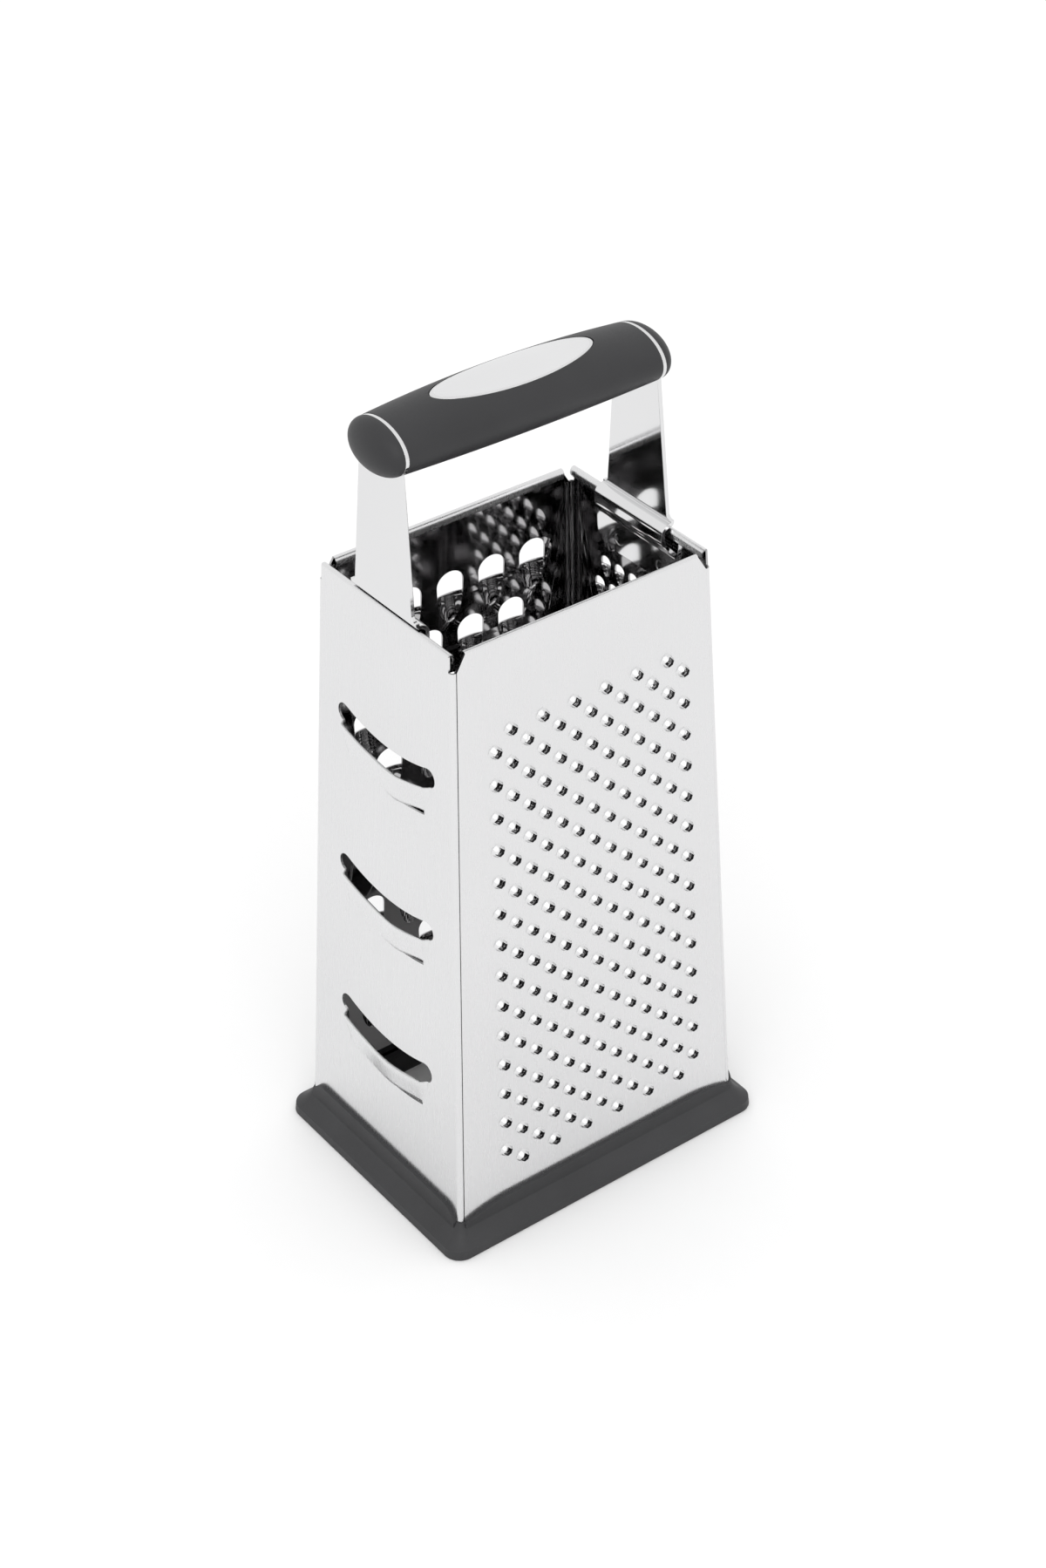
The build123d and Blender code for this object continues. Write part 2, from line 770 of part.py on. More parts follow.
with BuildPart() as base_ring:
    with BuildSketch():
        RectangleRounded(base_width, base_depth, base_corner)
    with BuildSketch(Plane.XY.offset(band_height)):
        RectangleRounded(base_width - 2 * band_draft, base_depth - 2 * band_draft, base_corner - band_draft)
    loft()
    for up_share, out_share in skirt_shares:
        z = band_height + up_share * (skirt_top - band_height)
        with BuildSketch(Plane.XY.offset(z)):
            RectangleRounded(
                2 * (half_width(z) + out_share * skirt_reach_x),
                2 * (half_depth(z) + out_share * skirt_reach_y),
                corner_radius + out_share * (base_corner - band_draft - corner_radius),
            )
    loft()
    for side in (-1, 1):
        with BuildSketch(wide_plane(side)):
            lip_outline(half_width, wide_lip_height, wide_lip_fall, up_wide)
        extrude(amount=lip_thickness)
        with BuildSketch(narrow_plane(side)):
            lip_outline(half_depth, narrow_lip_height, narrow_lip_fall, up_narrow)
        extrude(amount=lip_thickness)
    add(seat_space, mode=Mode.SUBTRACT)
    add(ring_hole, mode=Mode.SUBTRACT)
    add(inner_rib)
    outer_foot = base_ring.faces().sort_by(Axis.Z)[0].outer_wire()
    fillet(outer_foot.edges(), foot_radius)
save(base_ring.part, "base_ring")
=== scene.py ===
"""The looks of the box grater's pieces, laid out as a Blender add-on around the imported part."""

from math import asin, atan, cos, floor, pi, radians, sin, sqrt
from random import Random

import bmesh
import bpy
from mathutils import Matrix, Vector


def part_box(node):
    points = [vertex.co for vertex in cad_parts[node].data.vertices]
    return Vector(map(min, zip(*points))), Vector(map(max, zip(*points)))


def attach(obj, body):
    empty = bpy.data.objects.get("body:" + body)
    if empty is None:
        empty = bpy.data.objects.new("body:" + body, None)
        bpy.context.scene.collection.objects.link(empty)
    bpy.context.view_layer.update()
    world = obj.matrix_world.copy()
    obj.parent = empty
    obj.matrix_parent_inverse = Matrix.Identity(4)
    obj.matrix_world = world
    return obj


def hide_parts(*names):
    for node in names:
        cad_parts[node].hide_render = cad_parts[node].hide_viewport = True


bl_info = {
    "name": "Box Grater Looks",
    "version": (1, 0, 0),
    "blender": (4, 5, 0),
    "location": "3D View > Sidebar > Grater",
    "description": "Punched steel walls, straps, soft grip and base ring of a four-sided box grater",
    "category": "Object",
}

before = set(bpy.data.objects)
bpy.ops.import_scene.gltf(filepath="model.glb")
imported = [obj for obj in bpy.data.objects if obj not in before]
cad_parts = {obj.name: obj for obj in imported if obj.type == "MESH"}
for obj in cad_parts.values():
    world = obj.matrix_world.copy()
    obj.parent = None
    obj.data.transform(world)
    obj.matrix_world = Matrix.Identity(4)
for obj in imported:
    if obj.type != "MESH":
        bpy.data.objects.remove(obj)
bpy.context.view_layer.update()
rasp_low, rasp_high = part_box("fine_rasp_wall")

MM = 0.001
# Corners nearer than this are one corner, and corners this near the flat lie on it
MERGE = 0.001 * MM
ON_FLAT = 0.0001 * MM


class ShellSizes(bpy.types.PropertyGroup):
    """Sizes of the four-sided shell."""

    rim_height: bpy.props.FloatProperty(
        name="Rim height", description="Height of the rim", default=rasp_high.z, unit="LENGTH"
    )
    rim_width: bpy.props.FloatProperty(
        name="Rim width", description="Width of the shell at the rim", default=82.7 * MM, unit="LENGTH"
    )
    rim_depth: bpy.props.FloatProperty(
        name="Rim depth", description="Depth of the shell at the rim", default=58.1 * MM, unit="LENGTH"
    )
    foot_width: bpy.props.FloatProperty(
        name="Foot width",
        description="Width of the shell at table level",
        default=98.9 * MM,
        unit="LENGTH",
    )
    foot_depth: bpy.props.FloatProperty(
        name="Foot depth",
        description="Depth of the shell at table level",
        default=73.5 * MM,
        unit="LENGTH",
    )
    sheet: bpy.props.FloatProperty(
        name="Sheet", description="Thickness of the steel sheet", default=0.6 * MM, unit="LENGTH"
    )
    bottom: bpy.props.FloatProperty(
        name="Bottom", description="Height of the sheet's lower edge", default=rasp_low.z, unit="LENGTH"
    )
    corner: bpy.props.FloatProperty(
        name="Corner", description="Outer radius of the corner bends", default=1.3 * MM, unit="LENGTH"
    )
    seam: bpy.props.FloatProperty(
        name="Seam",
        description="Distance from the narrow wall's face to the seam",
        default=1.5 * MM,
        unit="LENGTH",
    )
    seam_gap: bpy.props.FloatProperty(
        name="Seam gap",
        description="Open line between two walls at a seam",
        default=0.22 * MM,
        unit="LENGTH",
    )
    notch_width: bpy.props.FloatProperty(
        name="Notch width", description="Width of the corner notch", default=4.2 * MM, unit="LENGTH"
    )
    notch_depth: bpy.props.FloatProperty(
        name="Notch depth", description="Depth of the corner notch", default=5.0 * MM, unit="LENGTH"
    )


class RaspSizes(bpy.types.PropertyGroup):
    """Sizes of the fine rasp wall's grid of points."""

    columns: bpy.props.IntProperty(name="Columns", description="Columns of points", default=13, min=1)
    rows: bpy.props.IntProperty(
        name="Rows", description="Points in a short column; a long one has one more", default=14, min=1
    )
    top: bpy.props.FloatProperty(
        name="Top",
        description="Height of a short column's highest point",
        default=156.5 * MM,
        unit="LENGTH",
    )
    pitch: bpy.props.FloatProperty(
        name="Column pitch",
        description="Distance between columns at mid height",
        default=5.34 * MM,
        unit="LENGTH",
    )
    row_pitch: bpy.props.FloatProperty(
        name="Row pitch",
        description="Distance between points in a column",
        default=10.0 * MM,
        unit="LENGTH",
    )
    aside: bpy.props.FloatProperty(
        name="Aside",
        description="Distance of the grid from the wall's middle",
        default=1.2 * MM,
        unit="LENGTH",
    )
    fan: bpy.props.FloatProperty(
        name="Fan", description="Share by which the columns spread over the wall's height", default=0.126
    )
    unevenness: bpy.props.FloatProperty(
        name="Unevenness", description="Share by which the points differ in height", default=0.12
    )
    twist: bpy.props.FloatProperty(
        name="Twist", description="Most that a point is turned", default=radians(5), subtype="ANGLE"
    )


class CoarseSizes(bpy.types.PropertyGroup):
    """Sizes of the coarse wall's windows and scoops."""

    width: bpy.props.FloatProperty(
        name="Width", description="Width of a window", default=8.8 * MM, unit="LENGTH"
    )
    window: bpy.props.FloatProperty(
        name="Window", description="Height of a window", default=7.6 * MM, unit="LENGTH"
    )
    length: bpy.props.FloatProperty(
        name="Scoop length",
        description="Length of the scoop below a window",
        default=8.8 * MM,
        unit="LENGTH",
    )
    lift: bpy.props.FloatProperty(
        name="Lift",
        description="Height of the cutting edge over the wall",
        default=2.4 * MM,
        unit="LENGTH",
    )
    top: bpy.props.FloatProperty(
        name="Top",
        description="Height of the highest row's cutting edges",
        default=162.5 * MM,
        unit="LENGTH",
    )
    rows: bpy.props.IntProperty(name="Rows", description="Rows of windows", default=9, min=1)
    row_pitch: bpy.props.FloatProperty(
        name="Row pitch", description="Distance between rows", default=16.6 * MM, unit="LENGTH"
    )
    first_row: bpy.props.IntProperty(
        name="First row", description="Windows in the odd rows", default=5, min=1
    )
    second_row: bpy.props.IntProperty(
        name="Second row", description="Windows in the even rows", default=4, min=1
    )
    pitch: bpy.props.FloatProperty(
        name="Pitch", description="Distance between windows in a row", default=13.8 * MM, unit="LENGTH"
    )


class MediumSizes(bpy.types.PropertyGroup):
    """Sizes of the medium wall's windows and scoops."""

    width: bpy.props.FloatProperty(
        name="Width", description="Width of a window", default=4.1 * MM, unit="LENGTH"
    )
    window: bpy.props.FloatProperty(
        name="Window", description="Height of a window", default=3.2 * MM, unit="LENGTH"
    )
    length: bpy.props.FloatProperty(
        name="Scoop length",
        description="Length of the scoop below a window",
        default=3.6 * MM,
        unit="LENGTH",
    )
    lift: bpy.props.FloatProperty(
        name="Lift",
        description="Height of the cutting edge over the wall",
        default=1.1 * MM,
        unit="LENGTH",
    )
    top: bpy.props.FloatProperty(
        name="Top",
        description="Height of the highest row's cutting edges",
        default=163.0 * MM,
        unit="LENGTH",
    )
    rows: bpy.props.IntProperty(name="Rows", description="Rows of windows", default=18, min=1)
    row_pitch: bpy.props.FloatProperty(
        name="Row pitch", description="Distance between rows", default=7.9 * MM, unit="LENGTH"
    )
    first_row: bpy.props.IntProperty(
        name="First row", description="Windows in the odd rows", default=6, min=1
    )
    second_row: bpy.props.IntProperty(
        name="Second row", description="Windows in the even rows", default=7, min=1
    )
    pitch: bpy.props.FloatProperty(
        name="Pitch", description="Distance between windows in a row", default=5.9 * MM, unit="LENGTH"
    )


class SlicerSizes(bpy.types.PropertyGroup):
    """Sizes of the slicer wall's slots and blades."""

    heights: bpy.props.FloatVectorProperty(
        name="Heights",
        description="Heights of the blades' edges, from the top",
        default=(142.7 * MM, 94.2 * MM, 45.8 * MM),
        unit="LENGTH",
    )
    openings: bpy.props.FloatVectorProperty(
        name="Openings",
        description="Widths of the slots, from the top",
        default=(5.5 * MM, 5.5 * MM, 5.8 * MM),
        unit="LENGTH",
    )
    lifts: bpy.props.FloatVectorProperty(
        name="Lifts",
        description="Heights of the blades' edges over the wall, from the top",
        default=(1.4 * MM, 1.4 * MM, 1.8 * MM),
        unit="LENGTH",
    )
    slits: bpy.props.FloatVectorProperty(
        name="Slits",
        description="Where the slits below the blades start, as shares of the blade's half length",
        default=(0.25, 0.25, -0.1),
    )
    aside: bpy.props.FloatProperty(
        name="Aside",
        description="Distance of the slots from the wall's middle",
        default=1.0 * MM,
        unit="LENGTH",
    )
    curve_radius: bpy.props.FloatProperty(
        name="Curve radius",
        description="Radius of the blade's curved edge",
        default=62.0 * MM,
        unit="LENGTH",
    )
    half_length: bpy.props.FloatProperty(
        name="Half length", description="Half the length of a slot", default=22.6 * MM, unit="LENGTH"
    )
    blade_depth: bpy.props.FloatProperty(
        name="Blade depth",
        description="Distance from the blade's edge to its crease",
        default=8.5 * MM,
        unit="LENGTH",
    )
    crease_half: bpy.props.FloatProperty(
        name="Crease half length",
        description="Half the width of the crease",
        default=17.5 * MM,
        unit="LENGTH",
    )
    step: bpy.props.FloatProperty(
        name="Step", description="Height of the step at the crease", default=0.6 * MM, unit="LENGTH"
    )


class InlaySizes(bpy.types.PropertyGroup):
    """Sizes of the steel plate in the grip."""

    length: bpy.props.FloatProperty(
        name="Length", description="Length of the oval plate", default=49.6 * MM, unit="LENGTH"
    )
    width: bpy.props.FloatProperty(
        name="Width", description="Width of the oval plate", default=15.0 * MM, unit="LENGTH"
    )


class FinishColours(bpy.types.PropertyGroup):
    """Colours of the finishes."""

    steel: bpy.props.FloatVectorProperty(
        name="Steel", description="Rolled stainless sheet", default=(0.735, 0.735, 0.74), subtype="COLOR"
    )
    # Painted shade: the sheet's inner face is darker than its outside, for the shade inside the shell
    shaded_steel: bpy.props.FloatVectorProperty(
        name="Inner steel",
        description="The sheet's shaded inner face",
        default=(0.42, 0.415, 0.42),
        subtype="COLOR",
    )
    # Painted shade: near-black steel for the shade inside the points' mouths and on the rasp sheet's cut
    # edges
    painted_shade_steel: bpy.props.FloatVectorProperty(
        name="Torn steel",
        description="Dark torn mouths of the points",
        default=(0.03, 0.03, 0.032),
        subtype="COLOR",
    )
    grip: bpy.props.FloatVectorProperty(
        name="Grip", description="Soft matte grip", default=(0.028, 0.028, 0.030), subtype="COLOR"
    )
    ring: bpy.props.FloatVectorProperty(
        name="Base ring",
        description="Soft rubber of the base",
        default=(0.035, 0.035, 0.037),
        subtype="COLOR",
    )


def shell():
    """The shell's sizes of this scene."""
    return bpy.context.scene.grater_shell


# Patterns in the rolled steel: scales in repeats a metre, the pattern values that its two tones lie
# at, and shares of its roughness
CLOUD_SCALE = 18
CLOUD_FROM, CLOUD_TO = 0.3, 0.7
ROLLING_SCALE = 900
ROLLING_STRETCH = (1, 1, 0.05)
ROLLING_RELIEF = 0.02 * MM
SMOOTHEST, ROUGHEST = 0.85, 1.2
# Patterns in the rubber, and how much its tone and roughness vary
DUST_SCALE = 60
DUST_FROM, DUST_TO = 0.25, 0.75
DUST_DARKER, DUST_LIGHTER = 0.88, 1.15
RUBBER_UNEVENNESS = 0.06
RUBBER_GLOSS = 0.4
RUBBER_GRAIN = 0.25
RUBBER_RELIEF = 0.04 * MM


def new_material(name):
    """An empty node material with a shader and Object coordinates."""
    material = bpy.data.materials.new(name)
    material.use_nodes = True
    nodes = material.node_tree.nodes
    shader = nodes["Principled BSDF"]
    coordinates = nodes.new("ShaderNodeTexCoord")
    return material, nodes, material.node_tree.links, shader, coordinates.outputs["Object"]


def noise(nodes, links, vector, scale, detail, stretch=(1, 1, 1)):
    """A noise pattern on a stretched copy of the coordinates."""
    mapping = nodes.new("ShaderNodeMapping")
    mapping.inputs["Scale"].default_value = stretch
    links.new(vector, mapping.inputs["Vector"])
    pattern = nodes.new("ShaderNodeTexNoise")
    pattern.inputs["Scale"].default_value = scale
    pattern.inputs["Detail"].default_value = detail
    links.new(mapping.outputs["Vector"], pattern.inputs["Vector"])
    return pattern.outputs["Fac"]


def two_tones(nodes, links, value, low, high, low_colour, high_colour):
    """Two colours blended between two values of a pattern."""
    blend = nodes.new("ShaderNodeValToRGB")
    blend.color_ramp.elements[0].position = low
    blend.color_ramp.elements[1].position = high
    blend.color_ramp.elements[0].color = (*low_colour, 1)
    blend.color_ramp.elements[1].color = (*high_colour, 1)
    links.new(value, blend.inputs["Fac"])
    return blend.outputs["Color"]


def uneven_polish(nodes, links, value, shader, least, most):
    """A roughness that follows a pattern."""
    rough = nodes.new("ShaderNodeMapRange")
    rough.inputs["To Min"].default_value = least
    rough.inputs["To Max"].default_value = most
    links.new(value, rough.inputs["Value"])
    links.new(rough.outputs["Result"], shader.inputs["Roughness"])


def fine_relief(nodes, links, value, shader, strength, distance, eased_edge=0.0):
    """A fine relief from a pattern, on edges that shade as if they were eased."""
    relief = nodes.new("ShaderNodeBump")
    if eased_edge:
        edge = nodes.new("ShaderNodeBevel")
        edge.inputs["Radius"].default_value = eased_edge
        links.new(edge.outputs["Normal"], relief.inputs["Normal"])
    relief.inputs["Strength"].default_value = strength
    relief.inputs["Distance"].default_value = distance
    links.new(value, relief.inputs["Height"])
    links.new(relief.outputs["Normal"], shader.inputs["Normal"])


def scaled(colour, factor):
    """A colour made lighter or darker."""
    return tuple(min(1.0, channel * factor) for channel in colour)


def rolled_steel(name, colour, roughness, variation, grain, eased_edge=0.0):
    """Stainless sheet: faint cloudy tone, and rolling grain along its height."""
    material, nodes, links, shader, place = new_material(name)
    cloud = noise(nodes, links, place, CLOUD_SCALE, detail=3)
    darker, lighter = scaled(colour, 1 - variation), scaled(colour, 1 + variation)
    tone = two_tones(nodes, links, cloud, CLOUD_FROM, CLOUD_TO, darker, lighter)
    links.new(tone, shader.inputs["Base Color"])
    rolling = noise(nodes, links, place, ROLLING_SCALE, detail=2, stretch=ROLLING_STRETCH)
    uneven_polish(nodes, links, rolling, shader, roughness * SMOOTHEST, roughness * ROUGHEST)
    shader.inputs["Metallic"].default_value = 1.0
    fine_relief(nodes, links, rolling, shader, grain, ROLLING_RELIEF, eased_edge)
    return material


def soft_rubber(name, colour, roughness, speckle_size):
    """Matte moulded rubber: a fine grain and faint dust in its tone."""
    material, nodes, links, shader, place = new_material(name)
    dust = noise(nodes, links, place, DUST_SCALE, detail=4)
    darker, lighter = scaled(colour, DUST_DARKER), scaled(colour, DUST_LIGHTER)
    tone = two_tones(nodes, links, dust, DUST_FROM, DUST_TO, darker, lighter)
    links.new(tone, shader.inputs["Base Color"])
    grain = noise(nodes, links, place, 1 / speckle_size, detail=2)
    least, most = roughness - RUBBER_UNEVENNESS, roughness + RUBBER_UNEVENNESS
    uneven_polish(nodes, links, grain, shader, least, most)
    shader.inputs["Specular IOR Level"].default_value = RUBBER_GLOSS
    fine_relief(nodes, links, grain, shader, RUBBER_GRAIN, RUBBER_RELIEF)
    return material


def finish(name):
    """One of the grater's finishes, made when it is first asked for."""
    found = bpy.data.materials.get(name)
    if found:
        return found
    tone = bpy.context.scene.grater_colours
    inlay_tone, zinc_tone = scaled(tone.steel, 1.07), scaled(tone.steel, 0.75)
    makers = {
        "rolled_sheet": lambda: rolled_steel(
            name, tone.steel, roughness=0.27, variation=0.01, grain=0.025
        ),
        # Painted shade: darker steel for the inside of the shell
        "shaded_sheet": lambda: rolled_steel(
            name, tone.shaded_steel, roughness=0.05, variation=0.06, grain=0.02
        ),
        # Painted shade: near-black, for the points' mouths and the rasp sheet's edges
        "painted_shade_steel": lambda: rolled_steel(
            name, tone.painted_shade_steel, roughness=0.22, variation=0.25, grain=0.15
        ),
        "ground_edge": lambda: rolled_steel(
            name, tone.steel, roughness=0.18, variation=0.01, grain=0.05
        ),
        "strap_polish": lambda: rolled_steel(
            name, tone.steel, roughness=0.07, variation=0.01, grain=0.01, eased_edge=0.3 * MM
        ),
        "inlay_satin": lambda: rolled_steel(
            name, inlay_tone, roughness=0.36, variation=0.02, grain=0.2
        ),
        "screw_zinc": lambda: rolled_steel(
            name, zinc_tone, roughness=0.35, variation=0.05, grain=0.2
        ),
        "grip_soft": lambda: soft_rubber(name, tone.grip, roughness=0.52, speckle_size=0.6 * MM),
        "hard_core": lambda: soft_rubber(name, tone.grip, roughness=0.4, speckle_size=1.0 * MM),
        "ring_rubber": lambda: soft_rubber(name, tone.ring, roughness=0.55, speckle_size=0.7 * MM),
    }
    return makers[name]()


def mesh_of(bm, name):
    """A mesh from a bmesh, which is then freed."""
    mesh = bpy.data.meshes.new(name)
    bm.to_mesh(mesh)
    bm.free()
    return mesh


def add_piece(bm, name):
    """A new object in the scene from a bmesh."""
    piece = bpy.data.objects.new(name, mesh_of(bm, name))
    bpy.context.scene.collection.objects.link(piece)
    return piece


# The photograph's view: its angles, the point that it is aimed by and the distance from there
YAW = radians(-36.64)
PITCH = radians(35.61)
ROLL = radians(-0.71)
AIM_HEIGHT = 98.88 * MM
AIM_RIGHT = 1.2 * MM
AIM_UP = 14.4 * MM
CAMERA_DISTANCE = 812.6 * MM
FOCAL_PIXELS = 3385.7
PHOTO_HEIGHT = 1799
SENSOR = 36.0

# The studio: the floor's two tones, and the lamp in watts and metres
FLOOR_HALF = 3.0
FLOOR_SEEN = (0.97, 0.97, 0.97, 1)
FLOOR_THROWN = (0.55, 0.55, 0.55, 1)
LAMP_POWER = 24.0
LAMP_SIZE = 2.8
LAMP_PLACE = (-1.6, -2.1, 2.2)


class GRATER_OT_stage(bpy.types.Operator):
    """Pale floor, plain soft light and the camera at the photograph's angle"""

    bl_idname = "grater.stage"
    bl_label = "Stage"

    def execute(self, context):
        scene = context.scene
        scene.view_settings.view_transform = "Standard"
        bm = bmesh.new()
        bmesh.ops.create_grid(bm, x_segments=1, y_segments=1, size=FLOOR_HALF)
        floor = add_piece(bm, "floor")
        floor.data.materials.append(self.floor_paper())
        self.light(scene)
        self.place_camera(scene)
        return {"FINISHED"}

    def floor_paper(self):
        """White for the eye and for gloss, greyer for the light that it throws up."""
        paper, nodes, links, shader, place = new_material("floor_paper")
        nodes.remove(shader)
        seen = nodes.new("ShaderNodeBsdfDiffuse")
        seen.inputs["Color"].default_value = FLOOR_SEEN
        thrown = nodes.new("ShaderNodeBsdfDiffuse")
        thrown.inputs["Color"].default_value = FLOOR_THROWN
        path = nodes.new("ShaderNodeLightPath")
        mix = nodes.new("ShaderNodeMixShader")
        links.new(path.outputs["Is Diffuse Ray"], mix.inputs["Fac"])
        links.new(seen.outputs["BSDF"], mix.inputs[1])
        links.new(thrown.outputs["BSDF"], mix.inputs[2])
        links.new(mix.outputs["Shader"], nodes["Material Output"].inputs["Surface"])
        return paper

    def light(self, scene):
        """An even white surround, and one soft lamp high behind the camera."""
        world = bpy.data.worlds.new("studio")
        scene.world = world
        world.use_nodes = True
        surround = world.node_tree.nodes["Background"]
        surround.inputs["Color"].default_value = (1, 1, 1, 1)
        surround.inputs["Strength"].default_value = 1.0
        lamp = bpy.data.lights.new("soft_top", "AREA")
        lamp.energy = LAMP_POWER
        lamp.size = LAMP_SIZE
        holder = bpy.data.objects.new("soft_top", lamp)
        scene.collection.objects.link(holder)
        holder.location = LAMP_PLACE
        holder.rotation_euler = (-Vector(LAMP_PLACE)).to_track_quat("-Z", "Y").to_euler()

    def place_camera(self, scene):
        """The camera, from the angles and the distance that the photograph was taken at."""
        back = Vector((sin(YAW) * cos(PITCH), -cos(YAW) * cos(PITCH), sin(PITCH)))
        level = Vector((cos(YAW), sin(YAW), 0))
        upright = level.cross(-back)
        right = level * cos(ROLL) + upright * sin(ROLL)
        up = upright * cos(ROLL) - level * sin(ROLL)
        camera = bpy.data.objects.new("camera", bpy.data.cameras.new("camera"))
        scene.collection.objects.link(camera)
        camera.data.sensor_width = SENSOR
        camera.data.lens = FOCAL_PIXELS * SENSOR / PHOTO_HEIGHT
        turn = Matrix((right, up, back)).transposed().to_4x4()
        aim = Vector((0, 0, AIM_HEIGHT)) + right * AIM_RIGHT + up * AIM_UP
        camera.matrix_world = Matrix.Translation(aim + back * CAMERA_DISTANCE) @ turn
        scene.camera = camera


# The finish of every carried node
NODE_FINISHES = {
    "fine_rasp_wall": "rolled_sheet",
    "coarse_shred_wall": "rolled_sheet",
    "medium_shred_wall": "rolled_sheet",
    "slicer_wall": "rolled_sheet",
    "left_strap": "strap_polish",
    "right_strap": "strap_polish",
    "grip_cover": "grip_soft",
    "left_end_cap": "grip_soft",
    "right_end_cap": "grip_soft",
    "grip_core": "hard_core",
    "inlay_plate": "inlay_satin",
    "end_screws": "screw_zinc",
    "base_ring": "ring_rubber",
}


class GRATER_OT_finish_nodes(bpy.types.Operator):
    """Give every carried piece its finish"""

    bl_idname = "grater.finish_nodes"
    bl_label = "Finishes"

    def execute(self, context):
        for node, name in NODE_FINISHES.items():
            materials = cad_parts[node].data.materials
            materials.clear()
            materials.append(finish(name))
        return {"FINISHED"}


class Wall:
    """One leaning wall. Its local frame has x across, y up the slope from table level and z outward."""

    def __init__(self, side, wide):
        size = shell()
        self.side = side
        self.wide = wide
        halves = (size.rim_width / 2, size.foot_width / 2), (size.rim_depth / 2, size.foot_depth / 2)
        (self.half_rim, self.half_foot), (rim_reach, self.foot_reach) = halves if wide else halves[::-1]
        self.lean = atan((self.foot_reach - rim_reach) / size.rim_height)

    def half(self, z):
        """Half the wall's width at a height, to the outside of the walls beside it."""
        return self.half_rim + (self.half_foot - self.half_rim) * (1 - z / shell().rim_height)

    def rise(self, z):
        """Distance up the slope at a height."""
        return z / cos(self.lean)

    def fold(self):
        """Distance up the slope at which the rim starts to roll over."""
        return self.rise(shell().rim_height) - shell().sheet

    def stand(self):
        """The turn and place that bring the local frame to the part's."""
        across, outward = Vector((-self.side, 0, 0)), Vector((0, self.side, 0))
        if not self.wide:
            across, outward = Vector((0, self.side, 0)), Vector((self.side, 0, 0))
        normal = outward * cos(self.lean) + Vector((0, 0, sin(self.lean)))
        turn = Matrix((across, normal.cross(across), normal)).transposed().to_4x4()
        return Matrix.Translation(outward * self.foot_reach) @ turn

    def outline(self):
        """Corners of the flat: down the left side, along the foot, up the right side and back."""
        size = shell()
        notch = size.rim_height - size.notch_depth
        inset = size.seam + size.seam_gap if self.wide else size.corner
        hem_half = self.half_rim - (size.notch_width if self.wide else size.corner)
        right = [
            (self.half(size.bottom) - inset, self.rise(size.bottom)),
            (self.half(notch) - inset, self.rise(notch)),
            (hem_half, self.fold()),
        ]
        return [(-x, y) for x, y in reversed(right)] + right


# Sheet forming: how far beside an edge its cells are looked up, and the hem's depths and drops
BESIDE = 0.02 * MM
HEM_PROFILE = (
    (0.06 * MM, 0.32 * MM),
    (0.22 * MM, 0.13 * MM),
    (0.5 * MM, 0.02 * MM),
    (0.85 * MM, 0.0),
    (1.25 * MM, 0.12 * MM),
    (1.6 * MM, 0.42 * MM),
    (1.84 * MM, 0.85 * MM),
    (1.95 * MM, 1.4 * MM),
    (1.92 * MM, 2.0 * MM),
    (1.72 * MM, 2.55 * MM),
    (1.42 * MM, 3.0 * MM),
)
# Corner bends: their steps, the lap behind the wide wall, and the share of a side that a long
# edge takes
BEND_STEPS = 6
LAP_ROOM = 0.03 * MM
FLANGE_REACH = 3.2 * MM
LONG_EDGE = 0.9
# Torn mouths: their height, and how much of the sheet's thickness is lost there
MOUTH_HEIGHT = 1.1 * MM
MOUTH_THINNING = 0.85
THINNEST = 0.1


def start_wall(wall):
    """A new mesh with the flat's outline."""
    bm = bmesh.new()
    chain(bm, wall.outline(), closed=True)
    return bm


def chain(bm, points, closed=False):
    """Edges through points on the flat."""
    corners = [bm.verts.new((*point, 0)) for point in points]
    following = corners[1:] + corners[:1] if closed else corners[1:]
    for pair in zip(corners, following):
        bm.edges.new(pair)


def pull(bm, edges, places):
    """Extrude edges to new places, given for each of their corners in turn."""
    moved = bmesh.ops.extrude_edge_only(bm, edges=edges)["geom"]
    corners = [item for item in moved if isinstance(item, bmesh.types.BMVert)]
    for corner in corners:
        corner.co = places(corner.co)
    return [item for item in moved if isinstance(item, bmesh.types.BMEdge) and item.is_boundary]


def spoke(spot, reach, height):
    """The place at a reach from the middle, in a spot's direction."""
    return Vector((spot.x, spot.y, 0)).normalized() * reach + Vector((0, 0, height))


def punch(bm, form, places, spread=0.0, turn=0.0):
    """Copy a pressed form to every place, each a little different where a spread is given."""
    luck = Random(len(places))
    for x, y in places:
        size = 1 + luck.uniform(-spread, spread)
        twist = Matrix.Rotation(luck.uniform(-turn, turn), 4, "Z")
        place = Matrix.Translation((x, y, 0)) @ twist @ Matrix.Diagonal((1, 1, size, 1))
        form.transform(place)
        bm.from_mesh(form)
        form.transform(place.inverted())


def on_flat(element):
    """Whether an edge or face lies on the wall's flat."""
    return all(abs(corner.co.z) < ON_FLAT for corner in element.verts)


def whole_flat(place):
    """The one cell of a flat that is filled in one go."""
    return None


def fill_flat(bm, cell):
    """Fill the flat between the outline and the pressed forms, cell by cell."""
    cells = {}
    for edge in bm.edges:
        if len(edge.link_faces) < 2 and on_flat(edge):
            low, high = (corner.co for corner in edge.verts)
            aside = (high - low).cross(Vector((0, 0, 1))).normalized() * BESIDE
            for key in {cell((low + high) / 2 + aside), cell((low + high) / 2 - aside)}:
                cells.setdefault(key, []).append(edge)
    # Filled in millimetres, where the fill tells close corners apart
    bmesh.ops.scale(bm, vec=(1 / MM, 1 / MM, 1 / MM), verts=bm.verts)
    for edges in cells.values():
        bmesh.ops.triangle_fill(bm, use_beauty=True, use_dissolve=False, edges=edges, normal=(0, 0, 1))
    bmesh.ops.scale(bm, vec=(MM, MM, MM), verts=bm.verts)


